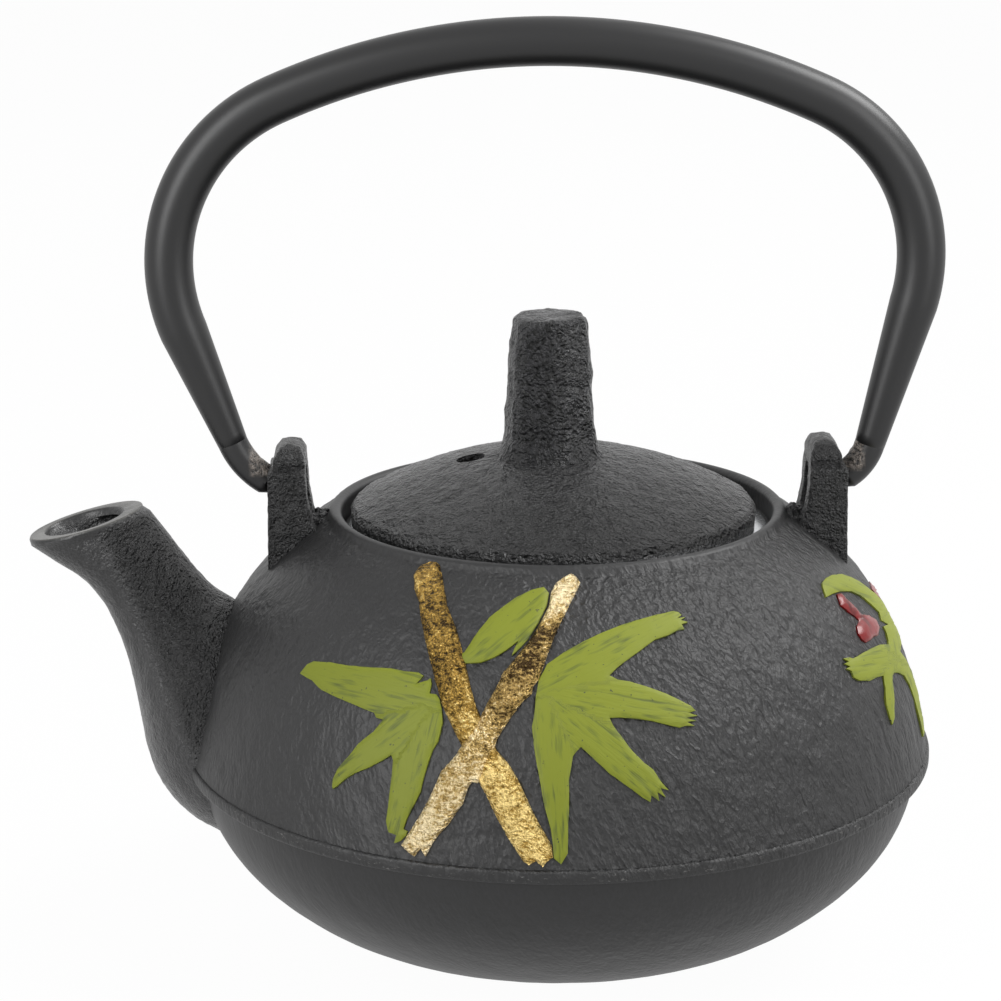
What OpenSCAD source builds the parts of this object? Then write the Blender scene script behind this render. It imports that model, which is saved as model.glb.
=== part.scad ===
// Small cast-iron teapot with a lift-out infuser: a pot cast with its mouth, spout and two ears,
// a lid with a six-sided knob, and a hollow steel bail hooked through the ears.
// Millimetres.  +Z is up, the spout is on -X and the ears stand on the X axis.
// The origin is on the table at the centre of the foot.

/* [Pot] */
// Radius of the flat foot
foot_r = 26; // [20:0.5:28]
// Height of the foot under the bowl
foot_h = 1.7; // [0.5:0.1:3]
// Radius of the bowl just under the rib
bowl_r = 58; // [54:0.1:60]
// Height of the widest level of the bowl
bowl_z = 30.9; // [28:0.1:34]
// Radius of the arc up the side of the bowl
bowl_side_r = 23.5; // [18:0.5:28]
// Radius of the arc under the bowl
bowl_base_r = 39.5; // [34:0.5:46]
// Angle below level at which the side arc meets the base arc
bowl_turn = 39.5; // [30:0.5:50]
// Outer radius of the rib
rib_r = 60; // [59:0.1:63]
// Height of the underside of the rib
rib_z = 29.7; // [28:0.1:31]
// Height of the rib
rib_h = 2.4; // [1.5:0.1:4]
// Radius of the wall just over the rib
wall_r = 59.3; // [57:0.1:60]
// Lean of the wall just over the rib
wall_lean = 11.2; // [8:0.1:14]
// Lean at which the slow arc of the wall turns into the shoulder
shoulder_lean = 15; // [14.5:0.1:18]
// Radius of the slow arc over the rib
wall_arc_r = 133; // [100:1:180]
// Radius of the shoulder arc
shoulder_r = 46.5; // [42:0.5:52]
// Thickness of the cast wall
wall = 3.8; // [3:0.1:5]

/* [Mouth] */
// Radius of the mouth
mouth_r = 34.2; // [33.8:0.1:35]
// Height of the top of the lip
lip_z = 70.8; // [70:0.1:72]
// Radius of the rounding of the lip
lip_round = 1.1; // [0.8:0.1:1.5]
// Height of the ledge that the infuser sits on
ledge_z = 67; // [65:0.1:68]
// Radius of the hole inside the ledge
ledge_r = 32.2; // [31.6:0.1:32.6]
// Thickness of the ledge at its edge
ledge_h = 2.6; // [2:0.1:4]

/* [Spout] */
// Turn of the spout away from the line of the ears
spout_turn = -1.8; // [-2:0.1:2]

/* [Ears] */
// Distance from the axis to the outer face of an ear
ear_x = 45.7; // [44:0.1:48]
// Thickness of an ear
ear_t = 6; // [5:0.1:8]
// Half width of an ear
ear_w = 5.7; // [5:0.1:7]
// Height of the top of an ear
ear_z = 81.7; // [81:0.1:84]
// Width of the slot through an ear
slot_w = 4.2; // [4:0.1:5]
// Height of the bottom of the slot
slot_z = 69.4; // [68:0.1:70]

/* [Lid] */
// Radius of the lid
lid_r = 32.2; // [31:0.1:32.6]
// Sideways place of the lid in the mouth
lid_x = -0.65; // [-0.7:0.05:0.7]
// Height of the edge of the dome
lid_edge_z = 70; // [69:0.1:71]
// Radius of the dome
dome_r = 58.5; // [50:0.1:70]
// Thickness of the dome
dome_t = 3.4; // [2.5:0.1:4]
// Radius of the locating skirt under the lid
skirt_r = 27.2; // [26:0.1:28.4]
// Depth of the skirt
skirt_h = 2.6; // [2:0.1:5]
// Diameter of the vent
vent_d = 4.6; // [3:0.1:6]
// Distance from the middle of the lid to the vent
vent_x = -13.1; // [-20:0.1:-12]
// How far the vent is set back
vent_y = 0.8; // [-3:0.1:6]

/* [Knob] */
// Height of the top of the knob
knob_z = 101.5; // [96:0.1:106]
// Sideways place of the knob on the lid
knob_x = -0.5; // [-1:0.1:1]
// Distance across the corners at the foot of the knob
knob_low_d = 16; // [13:0.1:17]
// Distance across the corners at the top of the knob
knob_top_d = 12.8; // [9:0.1:13]
// Rounding of the corners of the knob
knob_round = 1.6; // [0.5:0.1:3]
// Turn of the knob about its axis
knob_turn = 42; // [0:1:60]

/* [Bail] */
// Diameter of the tube
bail_d = 7.65; // [6:0.05:9]
// Diameter of the tube at its ends
bail_tip_d = 4.8; // [4:0.1:5.5]
// Thickness of the sheet that the tube is rolled from
bail_wall = 0.9; // [0.6:0.05:1.2]
// Highest point of the middle of the tube
crest_z = 144.2; // [130:0.1:150]
// Sideways place of the highest point
crest_x = -1.9; // [-3:0.1:0]
// Radius of the long arc over the top
crown_r = 104; // [90:1:120]
// Crown turn, corner radius, corner turn and leg length on the +X side
bail_right = [24.3, 27.4, 81.2, 23.4];
// The same four on the spout side
bail_left = [23.7, 28.1, 88, 19.3];

/* [Hooks] */
// Height of the line that the bail swings about
pivot_z = 75.2; // [74.5:0.1:75.2]
// Diameter of the pin in the slot of an ear
pin_d = 3.6; // [3:0.1:3.8]
// Distance from the axis to the inner end of a pin
pin_x = 40.4; // [39:0.1:43]
// Clearance between the bend of a hook and the outer face of its ear
hook_gap = 0.5; // [0.4:0.1:1]
// Length of the spigot that a hook has inside the tube
spigot_l = 5; // [3:0.5:8]

/* [Infuser] */
// Outer radius of the rim
infuser_r = 33.4; // [33:0.1:33.6]
// Thickness of the rim
rim_t = 0.6; // [0.4:0.05:0.8]
// Outer radius of the mesh wall
basket_r = 30; // [28:0.1:30.2]
// Height of the underside of the basket
basket_z = 25; // [15:0.5:40]
// Thickness of the mesh
mesh_t = 0.5; // [0.4:0.05:0.8]

/* [Hidden] */
$fn = 96;
iron = "#262626";
steel = "#1b1b1b";
bare_steel = "#4a4a48";
stainless = "#c9cbcc";
gap = 0.05;              // slack between a spigot or hem and what it holds
bail_bore_d = bail_tip_d - 2 * bail_wall;

// Points of an arc about c in the plane, from angle a0 to a1
function arc(c, r, a0, a1, n) =
    [for (i = [0:n]) let (a = a0 + (a1 - a0) * i / n) c + r * [cos(a), sin(a)]];

// Centres of the four arcs of the pot's section, each tangent to its neighbour
side_c = [bowl_r - bowl_side_r, bowl_z];
base_c = side_c + (bowl_side_r - bowl_base_r) * [cos(bowl_turn), -sin(bowl_turn)];
wall_foot = [wall_r, rib_z + rib_h + 1.2];
wall_c = wall_foot - wall_arc_r * [cos(wall_lean), sin(wall_lean)];
shoulder_c = wall_c + (wall_arc_r - shoulder_r) * [cos(shoulder_lean), sin(shoulder_lean)];
lip_c = [mouth_r + lip_round, lip_z - lip_round];
lip_start = 20;          // angle at which the rounding of the lip starts
lip_meet = min(acos((lip_c[0] + lip_round - shoulder_c[0]) / shoulder_r),
               asin(min(1, (lip_c[1] + lip_round * sin(lip_start) - shoulder_c[1]) / shoulder_r)));

// Underside of the ledge, the angle at which the inside of the shoulder ends there or at the
// hole in the ledge, and the radius of the ring that the lip and the ledge are made in
roof_z = ledge_z - ledge_h;
roof_a = min(asin(min(1, (roof_z - shoulder_c[1]) / (shoulder_r - wall))),
             acos((ledge_r - shoulder_c[0]) / (shoulder_r - wall)));
lip_r = lip_c[0] + lip_round;
ring_r = min(max(shoulder_c[0] + (shoulder_r - wall) * cos(roof_a), lip_r + 0.8), lip_r + 1.1);

// The widest of the rib, the bowl and the wall, which carries the root of the spout
widest_r = max(rib_r, bowl_r, wall_r);

module pot_outline() {
    foot_a = -acos((foot_r - base_c[0]) / bowl_base_r);
    rib_a = -asin((bowl_z - rib_z) / bowl_side_r);
    polygon(concat(
        [[0, 0], [foot_r, 0], [foot_r, foot_h]],
        arc(base_c, bowl_base_r, foot_a, -bowl_turn, 10),
        arc(side_c, bowl_side_r, -bowl_turn, rib_a, 7),
        arc([rib_r - 0.6, rib_z + 0.8], 0.6, -70, 0, 3),
        arc([rib_r - 0.5, rib_z + rib_h - 0.5], 0.5, 0, 90, 3),
        [[wall_r - 0.1, rib_z + rib_h]],
        arc(wall_c, wall_arc_r, wall_lean, shoulder_lean, 3),
        arc(shoulder_c, shoulder_r, shoulder_lean, lip_meet, 16),
        arc(lip_c, lip_round, lip_start, 180, 6),
        [[mouth_r, ledge_z], [0, ledge_z]]));
}

// The inside of the pot, wall by wall inside the outline and inside the rib
module cavity_outline() difference() {
    polygon(concat(
        [[0, base_c[1] - bowl_base_r + wall]],
        arc(base_c, bowl_base_r - wall, -90, -bowl_turn, 10),
        arc(side_c, bowl_side_r - wall, -bowl_turn, 0, 7),
        arc(wall_c, wall_arc_r - wall, wall_lean, shoulder_lean, 3),
        arc(shoulder_c, shoulder_r - wall, shoulder_lean, roof_a, 12),
        [[ledge_r, roof_z + 0.6], [ledge_r, ledge_z], [mouth_r, ledge_z],
         [mouth_r, lip_z + 1], [0, lip_z + 1]]));
    translate([rib_r - wall, rib_z - wall]) square([rib_r, rib_h + 2 * wall]);
}

// Sections of the spout from the mouth to the root.  Each gives the two ends of the section
// in the XZ plane, out from the widest part of the pot and up from the table, its half width
// and how far along it is widest.
spout_sections = [
    [-24.4, 65.7, -6.3, 70.6, 7.0, 0.50],
    [-24.3, 64.3, -5.0, 69.4, 7.2, 0.50],
    [-20.6, 61.8, -2.6, 66.1, 7.2, 0.50],
    [-16.4, 59.0, -0.4, 62.9, 7.3, 0.50],
    [-13.2, 55.2, 1.9, 59.8, 7.6, 0.52],
    [-11.1, 50.8, 4.8, 56.4, 8.6, 0.56],
    [-9.6, 46.4, 9.0, 52.8, 11.5, 0.66],
    [-8.4, 41.4, 11.5, 47.0, 16.0, 0.70],
    [-7.5, 36.2, 14.0, 39.4, 18.6, 0.78],
    [-6.7, 31.2, 16.0, 32.0, 19.2, 0.82],
    [-5.1, 26.4, 16.0, 26.2, 18.0, 0.80],
    [-2.0, 22.0, 16.0, 21.4, 15.4, 0.76],
    [2.4, 18.9, 16.0, 18.0, 12.0, 0.72],
    [9.0, 16.8, 16.0, 16.2, 7.0, 0.66]];

// Sections of the channel, written in the same way
channel_sections = [
    [-22.8, 68.1, -10.4, 71.7, 6.1, 0.50],
    [-21.9, 66.3, -9.4, 69.7, 6.0, 0.50],
    [-18.6, 63.6, -6.9, 67.1, 5.8, 0.50],
    [-14.4, 59.9, -3.8, 63.5, 5.4, 0.50],
    [-10.6, 54.8, -0.8, 58.8, 5.0, 0.50],
    [-8.0, 49.0, 1.8, 52.8, 5.0, 0.50],
    [-5.8, 42.4, 4.1, 46.2, 5.2, 0.50],
    [-3.8, 36.0, 6.4, 41.2, 5.4, 0.50],
    [0.6, 30.8, 8.2, 39.6, 5.6, 0.50],
    [6.8, 28.6, 10.4, 39.2, 5.6, 0.50],
    [12.0, 28.0, 13.0, 39.0, 5.6, 0.50],
    [20.0, 28.0, 21.0, 39.0, 5.6, 0.50]];

// A value between b and c on the smooth curve through a, b, c and d
function blend(a, b, c, d, t) =
    b + (c - a) * t / 2 + (2 * a - 5 * b + 4 * c - d) * t * t / 2
    + (3 * b - a - 3 * c + d) * t * t * t / 2;

// The list with `steps` values drawn between each pair of its entries
function smooth(list, steps) = let (n = len(list)) concat(
    [for (i = [0:n - 2], k = [0:steps - 1])
        blend(list[max(i - 1, 0)], list[i], list[i + 1], list[min(i + 2, n - 1)], k / steps)],
    [list[n - 1]]);

// A closed loop of `sides` points round one section
function section_loop(s, sides) = [for (i = [0:sides - 1])
    let (a = 360 * i / sides,
         f = cos(a) > 0 ? s[5] * (1 - cos(a)) : s[5] - (1 - s[5]) * cos(a))
    [s[0] + (s[2] - s[0]) * f, s[4] * sin(a), s[1] + (s[3] - s[1]) * f]];

// A closed solid skinned over a list of loops of points, all of one length
module skin(loops) {
    sides = len(loops[0]);
    last = len(loops) - 1;
    polyhedron(
        points = [for (loop = loops) each loop],
        faces = concat(
            [[for (i = [0:sides - 1]) i]],
            [for (r = [0:last - 1], i = [0:sides - 1]) let (j = (i + 1) % sides)
                each [[r * sides + j, r * sides + i, (r + 1) * sides + i],
                      [r * sides + j, (r + 1) * sides + i, (r + 1) * sides + j]]],
            [[for (i = [sides - 1:-1:0]) last * sides + i]]));
}

// A solid skinned over sections of the spout or the channel
module skin_sections(sections, sides) {
    rotate(spout_turn) translate([-widest_r, 0, 0])
        skin([for (s = smooth(sections, 2)) section_loop(s, sides)]);
}

// The section of an ear across the pot, its inner face rising from a thick root
module ear_profile() {
    inner = ear_x - ear_t;
    polygon([
        [inner - 3, rib_z], [ear_x + 0.3, rib_z], [ear_x + 0.3, ledge_z - 7], [ear_x, pivot_z + 2.4],
        [ear_x - 0.8, ear_z - 2.2], [ear_x - 2, ear_z - 0.5], [ear_x - 3.5, ear_z],
        [inner + 0.9, ear_z - 0.5], [inner + 0.2, ear_z - 2], [inner - 0.1, pivot_z - 2],
        [inner - 0.8, pivot_z - 6], [inner - 2.2, pivot_z - 8], [inner - 3, ledge_z - 7]]);
}

// The face of an ear: straight sides under a blunt top
module ear_face() {
    cap_z = ear_z - 4.2;
    half = [[ear_w, cap_z], [ear_w - 0.8, cap_z + 1.8], [ear_w - 2.1, cap_z + 3.3], [ear_w - 3.6, ear_z]];
    polygon(concat([[-ear_w, rib_z], [ear_w, rib_z]], half,
        [for (i = [len(half) - 1:-1:0]) [-half[i][0], half[i][1]]]));
}

module ear_slot() {
    for (z = [slot_z + slot_w / 2, pivot_z])
        translate([0, z]) circle(d = slot_w);
    translate([-slot_w / 2, slot_z + slot_w / 2]) square([slot_w, pivot_z - slot_z - slot_w / 2]);
}

module ear() {
    difference() {
        intersection() {
            translate([0, ear_w + 1, 0]) rotate([90, 0, 0]) linear_extrude(2 * ear_w + 2) ear_profile();
            translate([ear_x - 12, 0, 0]) rotate([90, 0, 90]) linear_extrude(14) ear_face();
        }
        translate([ear_x - 12, 0, 0]) rotate([90, 0, 90]) linear_extrude(14) ear_slot();
    }
}

module pot_solid() {
    rotate_extrude($fn = 180) pot_outline();
}

module cavity() {
    rotate_extrude($fn = 180) cavity_outline();
}

// The middle of the pot from z0 up to z1, out to the ring of the lip and the ledge
module ring_space(z0, z1) {
    translate([0, 0, z0]) cylinder(h = z1 - z0, r = ring_r, $fn = 180);
}

module pot_body() color(iron) difference() {
    pot_solid();
    cavity();
    ring_space(roof_z - 1, lip_z + 1);
    skin_sections(channel_sections, 20);
}

// The lip round the mouth, which holds the lid in place
module lip() color(iron) difference() {
    intersection() {
        pot_solid();
        ring_space(ledge_z, lip_z + 1);
    }
    cavity();
}

// The ledge inside the mouth, which carries the infuser
module ledge() color(iron) difference() {
    intersection() {
        pot_solid();
        ring_space(roof_z - 1, ledge_z);
    }
    cavity();
}

module spout() color(iron) difference() {
    skin_sections(spout_sections, 32);
    pot_solid();
    skin_sections(channel_sections, 20);
}

module ear_right() color(iron) difference() {
    ear();
    pot_solid();
}

module ear_left() color(iron) mirror([1, 0, 0]) ear_right();

module lid_outline() {
    dome_c = [0, lid_edge_z + 0.2 - sqrt(dome_r * dome_r - lid_r * lid_r)];
    seat_z = ledge_z + rim_t;
    edge_a = acos((lid_r - 0.5) / dome_r);
    inner_r = skirt_r - 2.4;
    polygon(concat(
        arc(dome_c, dome_r, 90, edge_a, 12),
        [[lid_r, lid_edge_z - 0.2], [lid_r - 0.2, seat_z + 0.4], [lid_r - 0.6, seat_z],
         [skirt_r, seat_z], [skirt_r - 0.2, seat_z - skirt_h], [inner_r, seat_z - skirt_h]],
        arc(dome_c, dome_r - dome_t, acos(inner_r / (dome_r - dome_t)), 90, 10)));
}

// A six-sided outline with rounded corners
module knob_outline(d) {
    hull() for (i = [0:5])
        rotate(60 * i) translate([d / 2 - knob_round, 0]) circle(r = knob_round, $fn = 24);
}

module knob() {
    root_z = lid_edge_z + 7;
    shoulder_z = knob_z - 1.3;
    hull() {
        translate([0, 0, root_z]) linear_extrude(0.1) knob_outline(knob_low_d);
        translate([0, 0, shoulder_z]) linear_extrude(0.1) knob_outline(knob_top_d);
        translate([0, 0, knob_z - 0.1]) linear_extrude(0.1) knob_outline(knob_top_d - 3.2);
    }
    // flare at the foot of the knob
    rotate_extrude() polygon(concat([[0, root_z]], [[knob_low_d / 2 + 2.6, root_z]],
        arc([knob_low_d / 2 + 2.6, root_z + 5], 3.2, 270, 180, 5), [[0, root_z + 5]]));
}

module lid() color(iron) translate([lid_x, 0, 0]) difference() {
    union() {
        rotate_extrude($fn = 180) lid_outline();
        translate([knob_x, 0, 0]) rotate(knob_turn) knob();
    }
    translate([vent_x, vent_y, ledge_z]) cylinder(h = 20, d = vent_d, $fn = 32);
}

// A bar bent down from the origin, which it leaves along +X
module bent_bar(r, d, turn) {
    translate([0, 0, -r]) rotate([90, 0, 0]) rotate([0, 0, 90 - turn])
        rotate_extrude(angle = turn) translate([r, 0]) circle(d = d, $fn = 48);
}

module round_bar(h, d) {
    rotate([0, 90, 0]) cylinder(h = h, d = d, $fn = 48);
}

// The middle of the tube on one side, from the highest point to the end of the leg, as
// entries of distance out, height, angle below level and radius
function leg_heading(side) = side[0] + side[2];
function corner_at(side, a) = [
    (crown_r - side[1]) * sin(side[0]) + side[1] * sin(a),
    crest_z - (crown_r - side[1]) * (1 - cos(side[0])) - side[1] * (1 - cos(a))];
function leg_end(side, l) =
    corner_at(side, leg_heading(side)) + l * [cos(leg_heading(side)), -sin(leg_heading(side))];
function half_bail(side, r, tip_r, l) = concat(
    [for (i = [0:3]) let (a = side[0] * i / 4)
        [crown_r * sin(a), crest_z - crown_r * (1 - cos(a)), a, r]],
    [for (i = [0:14]) let (a = side[0] + side[2] * i / 14, p = corner_at(side, a))
        [p[0], p[1], a, r]],
    [let (p = leg_end(side, side[3] + l)) [p[0], p[1], leg_heading(side), tip_r]]);

// Loops along the whole bail from the leg on the spout side to the other leg
function bail_loops(r, tip_r, l) = let (
    left = half_bail(bail_left, r, tip_r, l),
    right = half_bail(bail_right, r, tip_r, l),
    path = concat([for (i = [len(left) - 1:-1:1]) let (p = left[i]) [-p[0], p[1], -p[2], p[3]]], right))
    [for (p = path) [for (i = [0:23]) let (t = -15 * i)
        [crest_x + p[0] + p[3] * cos(t) * sin(p[2]), p[3] * sin(t), p[1] + p[3] * cos(t) * cos(p[2])]]];

module bail_tube() color(steel) difference() {
    skin(bail_loops(bail_d / 2, bail_tip_d / 2, 0));
    skin(bail_loops(bail_d / 2 - bail_wall, bail_bore_d / 2, 0.1));
}

// A hook on the +X side, bent from the leg's end to the slot: spigot, bend and pin
module hook(side, x) {
    heading = leg_heading(side);
    top = leg_end(side, side[3]) + [x, 0];
    face_x = ear_x + hook_gap;
    chord = top - [face_x, pivot_z];
    turn = 2 * (180 - atan2(chord[1], chord[0]) - heading);
    bend_r = norm(chord) / (2 * sin(turn / 2));
    difference() {
        translate([top[0], 0, top[1]]) rotate([0, heading, 0]) {
            translate([-spigot_l, 0, 0]) round_bar(spigot_l + 0.5, bail_bore_d - 2 * gap);
            bent_bar(bend_r, bail_tip_d, turn + 12);
        }
        translate([face_x - 20, -bail_tip_d, pivot_z - 10]) cube([20, 2 * bail_tip_d, 20]);
    }
    translate([pin_x, 0, pivot_z]) round_bar(face_x + 1.2 - pin_x, pin_d);
}

module bail_hook_left() color(bare_steel) mirror([1, 0, 0]) hook(bail_left, -crest_x);

module bail_hook_right() color(bare_steel) hook(bail_right, crest_x);

module ring(outer, inner, h) {
    difference() {
        cylinder(h = h, r = outer);
        translate([0, 0, -1]) cylinder(h = h + 2, r = inner);
    }
}

module infuser_rim() color(stainless) {
    translate([0, 0, ledge_z]) ring(infuser_r, basket_r - mesh_t - 0.1, rim_t);
    translate([0, 0, ledge_z - 5]) ring(basket_r + gap + 0.5, basket_r + gap, 5);
}

module infuser_mesh_wall() color(stainless)
    translate([0, 0, basket_z + rim_t]) ring(basket_r, basket_r - mesh_t, ledge_z - basket_z - rim_t);

module infuser_mesh_floor() color(stainless)
    translate([0, 0, basket_z + rim_t]) cylinder(h = mesh_t, r = basket_r - mesh_t - gap);

module infuser_hem() color(stainless) translate([0, 0, basket_z]) {
    ring(basket_r + gap + 0.4, basket_r - 2, rim_t);
    ring(basket_r + gap + 0.4, basket_r + gap, 3);
}

pot_body();
lip();
ledge();
spout();
ear_left();
ear_right();
lid();
bail_tube();
bail_hook_left();
bail_hook_right();
infuser_rim();
infuser_mesh_wall();
infuser_mesh_floor();
infuser_hem();
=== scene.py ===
import math

import bmesh
import bpy
from mathutils import Matrix, Vector


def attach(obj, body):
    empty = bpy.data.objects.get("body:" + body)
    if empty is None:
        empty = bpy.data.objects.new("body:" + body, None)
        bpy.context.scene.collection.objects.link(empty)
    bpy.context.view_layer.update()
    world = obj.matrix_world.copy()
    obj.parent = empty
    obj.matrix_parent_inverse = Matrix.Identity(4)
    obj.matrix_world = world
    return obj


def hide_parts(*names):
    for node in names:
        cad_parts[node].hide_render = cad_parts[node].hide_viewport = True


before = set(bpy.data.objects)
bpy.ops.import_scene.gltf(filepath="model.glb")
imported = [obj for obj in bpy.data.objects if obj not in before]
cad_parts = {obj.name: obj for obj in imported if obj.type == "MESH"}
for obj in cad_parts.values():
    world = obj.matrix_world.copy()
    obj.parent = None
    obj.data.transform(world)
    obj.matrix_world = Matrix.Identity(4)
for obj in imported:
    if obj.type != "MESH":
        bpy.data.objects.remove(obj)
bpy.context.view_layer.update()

MM = 0.001          # sizes below are in millimetres until they reach a mesh
JOIN = 1e-7         # verts nearer than this are one vert
IMAGE = 1001        # width and height of the view, in its own pixels


# ---------------------------------------------------------------- modelling by hand

def rest():
    """Leaves edit mode with nothing selected."""
    if bpy.context.object and bpy.context.object.mode != "OBJECT":
        bpy.ops.object.mode_set(mode="OBJECT")
    bpy.ops.object.select_all(action="DESELECT")


def pick(piece):
    """Makes the piece the one that is selected and worked on."""
    rest()
    piece.select_set(True)
    bpy.context.view_layer.objects.active = piece
    return piece


def edit(piece, select="DESELECT"):
    """Goes into edit mode on the piece and returns its edit mesh."""
    pick(piece)
    bpy.ops.object.mode_set(mode="EDIT")
    bpy.ops.mesh.select_all(action=select)
    return bmesh.from_edit_mesh(piece.data)


def place_in_mesh(piece, name):
    """Puts the piece's place into its mesh and names it."""
    pick(piece)
    bpy.ops.object.transform_apply(location=True, rotation=True, scale=True)
    piece.name = name
    piece.data.name = name
    return piece


def close_up(piece):
    """Merges doubles and points every face outwards."""
    edit(piece, "SELECT")
    bpy.ops.mesh.remove_doubles(threshold=JOIN)
    bpy.ops.mesh.normals_make_consistent(inside=False)
    rest()
    return piece


def smooth(piece, angle=30):
    """Shades the piece smooth, with edges sharper than the angle left crisp."""
    pick(piece)
    bpy.ops.object.shade_smooth_by_angle(angle=math.radians(angle))
    return piece


def apply(piece, modifier):
    """Works the modifier into the piece's mesh."""
    pick(piece)
    bpy.ops.object.modifier_apply(modifier=modifier.name)
    return piece


def turned(name, profile, steps):
    """A solid of revolution: one vert drawn along the profile, then spun about the axis."""
    rest()
    bpy.ops.mesh.primitive_plane_add(size=MM)
    piece = place_in_mesh(bpy.context.object, name)
    mesh = edit(piece)
    mesh.verts.ensure_lookup_table()
    for vert in mesh.verts[1:]:
        vert.select_set(True)
    bmesh.update_edit_mesh(piece.data)
    bpy.ops.mesh.delete(type="VERT")
    mesh = bmesh.from_edit_mesh(piece.data)
    start = next(iter(mesh.verts))
    start.co = (profile[0][0] * MM, 0, profile[0][1] * MM)
    start.select_set(True)
    bmesh.update_edit_mesh(piece.data)
    for (r0, z0), (r1, z1) in zip(profile, profile[1:]):
        bpy.ops.mesh.extrude_region_move(
            TRANSFORM_OT_translate={"value": ((r1 - r0) * MM, 0, (z1 - z0) * MM)})
    bpy.ops.mesh.select_all(action="SELECT")
    bpy.ops.mesh.spin(steps=steps, angle=math.tau, center=(0, 0, 0), axis=(0, 0, 1))
    return close_up(piece)


def lofted(name, loops, ring=False):
    """A skin over loops of points: a circle shaped to the first loop, then extruded loop by loop.
    A ring's last loop is bridged to its first, and any other skin is capped at both ends."""
    rest()
    bpy.ops.mesh.primitive_circle_add(vertices=len(loops[0]), radius=MM)
    piece = place_in_mesh(bpy.context.object, name)
    mesh = edit(piece, "SELECT")
    turn = mesh.verts.layers.int.new("turn")
    mesh.verts.ensure_lookup_table()
    for i, vert in enumerate(mesh.verts):
        vert[turn] = i
        vert.co = Vector(loops[0][i]) * MM
    bmesh.update_edit_mesh(piece.data)
    for loop in loops[1:]:
        bpy.ops.mesh.extrude_region_move()
        mesh = bmesh.from_edit_mesh(piece.data)
        turn = mesh.verts.layers.int["turn"]
        for vert in mesh.verts:
            if vert.select:
                vert.co = Vector(loop[vert[turn]]) * MM
        bmesh.update_edit_mesh(piece.data)
    if ring:
        bpy.ops.mesh.select_all(action="DESELECT")
        bpy.ops.mesh.select_non_manifold()
        bpy.ops.mesh.bridge_edge_loops()
    else:
        bpy.ops.mesh.select_all(action="SELECT")
        bpy.ops.mesh.fill_holes(sides=0)
    rest()
    piece.data.attributes.remove(piece.data.attributes["turn"])
    return close_up(piece)


def combine(piece, other, how):
    """Joins, cuts or crosses the piece with the other, which is used up."""
    rest()
    tool = piece.modifiers.new("combine", "BOOLEAN")
    tool.operation = how
    tool.object = other
    tool.solver = "MANIFOLD"
    apply(piece, tool)
    bpy.data.objects.remove(other)
    return piece


def remesh(piece, voxel, relax):
    """Rebuilds the piece in an even mesh, which rounds its edges as a casting's are."""
    tool = piece.modifiers.new("remesh", "REMESH")
    tool.mode = "VOXEL"
    tool.voxel_size = voxel * MM
    apply(piece, tool)
    tool = piece.modifiers.new("relax", "SMOOTH")
    tool.factor = 0.5
    tool.iterations = relax
    return apply(piece, tool)


def weights(piece, name, weight):
    """A vertex group whose weight at each vert is given by a function of its place in millimetres."""
    group = piece.vertex_groups.new(name=name)
    for vert in piece.data.vertices:
        group.add([vert.index], max(0.0, min(1.0, weight(vert.co / MM))), "REPLACE")
    return group


def roughen(piece, grain, height, weight, stretch=(1, 1, 1), lean=(0, 0, 0)):
    """Lumps of a cast surface, `grain` mm across and `height` mm high, pulled out along `stretch`."""
    group = weights(piece, "cast", weight)
    lumps = bpy.data.textures.new("cast_lumps", "CLOUDS")
    lumps.noise_scale = 1.0
    lumps.noise_depth = 1
    rest()
    bpy.ops.object.empty_add(rotation=[math.radians(a) for a in lean])
    ruler = bpy.context.object
    ruler.scale = [grain * MM * s for s in stretch]
    bpy.context.view_layer.update()
    tool = piece.modifiers.new("roughen", "DISPLACE")
    tool.texture = lumps
    tool.texture_coords = "OBJECT"
    tool.texture_coords_object = ruler
    tool.vertex_group = group.name
    tool.strength = height * MM
    tool.mid_level = 0.5
    apply(piece, tool)
    piece.vertex_groups.clear()
    bpy.data.objects.remove(ruler)
    bpy.data.textures.remove(lumps)
    return piece


def arc(centre, r, a0, a1, step):
    """Points along an arc about `centre`, `step` mm apart, with its angles in degrees."""
    n = max(1, round(abs(math.radians(a1 - a0)) * r / step))
    turn = [math.radians(a0 + (a1 - a0) * i / n) for i in range(n + 1)]
    return [(centre[0] + r * math.cos(a), centre[1] + r * math.sin(a)) for a in turn]


def curve_through(rows, steps):
    """The rows of numbers with `steps` values on the smooth curve between each two."""
    out = []
    for i in range(len(rows) - 1):
        a, b, c, d = rows[max(i - 1, 0)], rows[i], rows[i + 1], rows[min(i + 2, len(rows) - 1)]
        for k in range(steps):
            t = k / steps
            out.append([q + (r - p) * t / 2 + (2 * p - 5 * q + 4 * r - s) * t * t / 2
                        + (3 * q - p - 3 * r + s) * t ** 3 / 2 for p, q, r, s in zip(a, b, c, d)])
    return out + [list(rows[-1])]


def give(piece, material, body, nodes):
    """Finishes a piece: its paint, the body that it rides on and the nodes that it stands for."""
    piece.data.materials.clear()
    piece.data.materials.append(material)
    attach(piece, body)
    if nodes:
        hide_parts(*nodes)
    return piece


# ---------------------------------------------------------------- paints and metals

def colour(code):
    """A colour written as sRGB hex, as Blender's linear values."""
    parts = [int(code[i:i + 2], 16) / 255 for i in (1, 3, 5)]
    return [c / 12.92 if c <= 0.04045 else ((c + 0.055) / 1.055) ** 2.4 for c in parts] + [1]


def feed(node, socket, source):
    """Links a socket to an output, or to the first output of a node."""
    node.id_data.links.new(node.inputs[socket], getattr(source, "outputs", [source])[0])


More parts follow.
